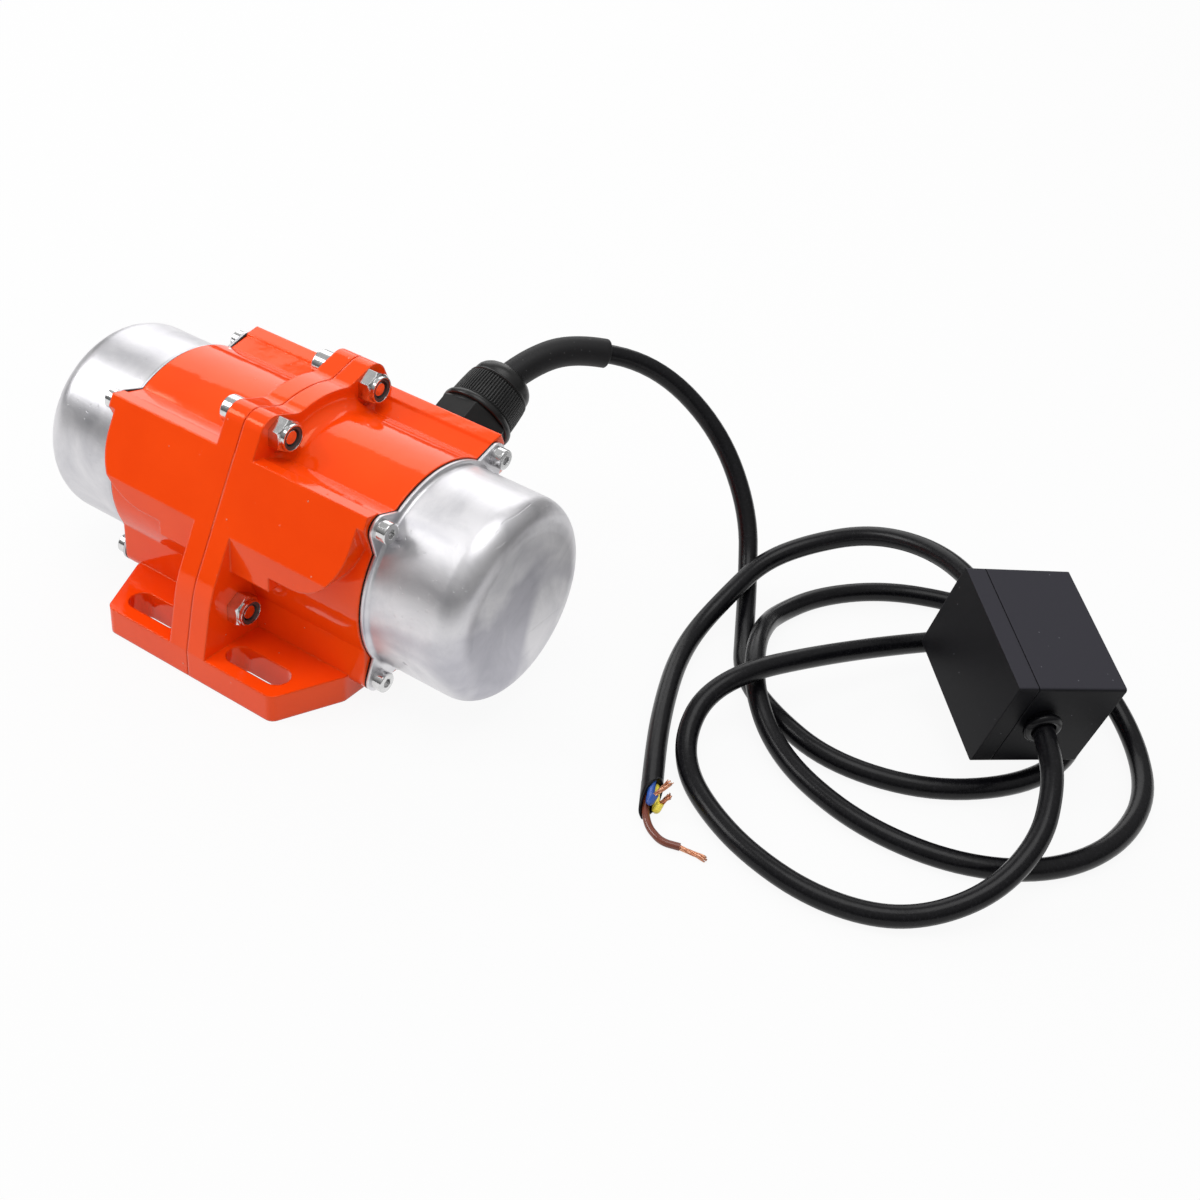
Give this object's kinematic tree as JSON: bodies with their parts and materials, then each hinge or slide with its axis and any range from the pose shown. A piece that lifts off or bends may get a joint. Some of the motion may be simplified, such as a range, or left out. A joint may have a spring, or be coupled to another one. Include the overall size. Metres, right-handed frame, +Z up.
{
  "type": "vibration motor",
  "caption": "Foot-mounted electric vibration motor with round end covers, adjustable eccentric weights, cable gland, coiled cord and a box for its run capacitor.",
  "frame": {"origin": "middle of the foot's lower face, on the plane where the two half shells meet", "axes": "+X along the shaft towards the right end, +Y towards the side that the cord leaves, +Z up"},
  "size_m": [0.3662, 0.2136, 0.0851],
  "materials": {
    "orange_paint": "gloss orange paint over cast metal",
    "drawn_steel": "satin deep drawn stainless sheet",
    "fastener_steel": "bright plated fasteners",
    "machined_steel": "machined steel",
    "weight_steel": "oiled flame cut steel",
    "lamination": "stacked electrical sheet",
    "copper": "copper",
    "rotor_cage": "cast aluminium",
    "bearing_steel": "polished bearing steel",
    "cage_polymer": "glass filled nylon",
    "gasket_rubber": "black gasket sheet",
    "nylon_insert": "nylon",
    "gland_nylon": "black nylon",
    "seal_rubber": "black rubber",
    "cord_sheath": "black PVC",
    "box_plastic": "fine grained black plastic",
    "capacitor_can": "white polypropylene",
    "brown_insulation": "brown PVC",
    "blue_insulation": "blue PVC",
    "earth_insulation": "yellow and green PVC"
  },
  "bodies": {
    "housing": {"right_half_shell": "orange_paint", "left_half_shell": "orange_paint", "right_end_cover": "drawn_steel", "left_end_cover": "drawn_steel", "right_cover_gasket": "gasket_rubber", "left_cover_gasket": "gasket_rubber", "right_cover_screws": "fastener_steel", "left_cover_screws": "fastener_steel", "flange_bolts": "fastener_steel", "flange_nuts": "fastener_steel", "flange_nut_inserts": "nylon_insert", "stator_core": "lamination", "stator_winding": "copper", "right_bearing_outer_ring": "bearing_steel", "left_bearing_outer_ring": "bearing_steel", "gland_body": "gland_nylon", "gland_o_ring": "seal_rubber", "gland_nut": "gland_nylon", "gland_seal": "seal_rubber", "cable_sleeve": "seal_rubber", "motor_cord": "cord_sheath", "capacitor_box_base": "box_plastic", "capacitor_box_lid": "box_plastic", "run_capacitor": "capacitor_can", "box_inlet_bush": "seal_rubber", "box_outlet_bush": "seal_rubber", "supply_cord": "cord_sheath", "brown_wire": "brown_insulation", "blue_wire": "blue_insulation", "yellow_green_wire": "earth_insulation", "copper_ends": "copper"},
    "rotor": {"rotor_shaft": "machined_steel", "rotor_core": "lamination", "cage_end_rings": "rotor_cage", "right_bearing_inner_ring": "bearing_steel", "left_bearing_inner_ring": "bearing_steel", "bearing_spacers": "machined_steel", "shaft_keys": "machined_steel", "right_inner_weight": "weight_steel", "left_inner_weight": "weight_steel", "inner_weight_screws": "fastener_steel", "shaft_circlips": "machined_steel"},
    "right_ball_set": {"right_bearing_balls": "bearing_steel", "right_ball_cage": "cage_polymer"},
    "left_ball_set": {"left_bearing_balls": "bearing_steel", "left_ball_cage": "cage_polymer"},
    "right_adjustable_weight": {"right_outer_weight": "weight_steel", "right_outer_weight_screw": "fastener_steel"},
    "left_adjustable_weight": {"left_outer_weight": "weight_steel", "left_outer_weight_screw": "fastener_steel"}
  },
  "joints": [
    {"name": "rotor_spin", "type": "hinge", "parent": "housing", "child": "rotor", "pos_m": [0, 0, 0.0392], "axis": [1, 0, 0], "continuous": true},
    {"name": "right_ball_roll", "type": "hinge", "parent": "housing", "child": "right_ball_set", "pos_m": [0, 0, 0.0392], "axis": [1, 0, 0], "continuous": true},
    {"name": "left_ball_roll", "type": "hinge", "parent": "housing", "child": "left_ball_set", "pos_m": [0, 0, 0.0392], "axis": [1, 0, 0], "continuous": true},
    {"name": "right_weight_adjust", "type": "hinge", "parent": "rotor", "child": "right_adjustable_weight", "pos_m": [0, 0, 0.0392], "axis": [1, 0, 0], "range_deg": [0, 180]},
    {"name": "left_weight_adjust", "type": "hinge", "parent": "rotor", "child": "left_adjustable_weight", "pos_m": [0, 0, 0.0392], "axis": [1, 0, 0], "range_deg": [0, 180]}
  ],
  "couplings": [
    {"joint": "right_ball_roll", "follows": "rotor_spin", "ratio": 0.38},
    {"joint": "left_ball_roll", "follows": "rotor_spin", "ratio": 0.38}
  ]
}
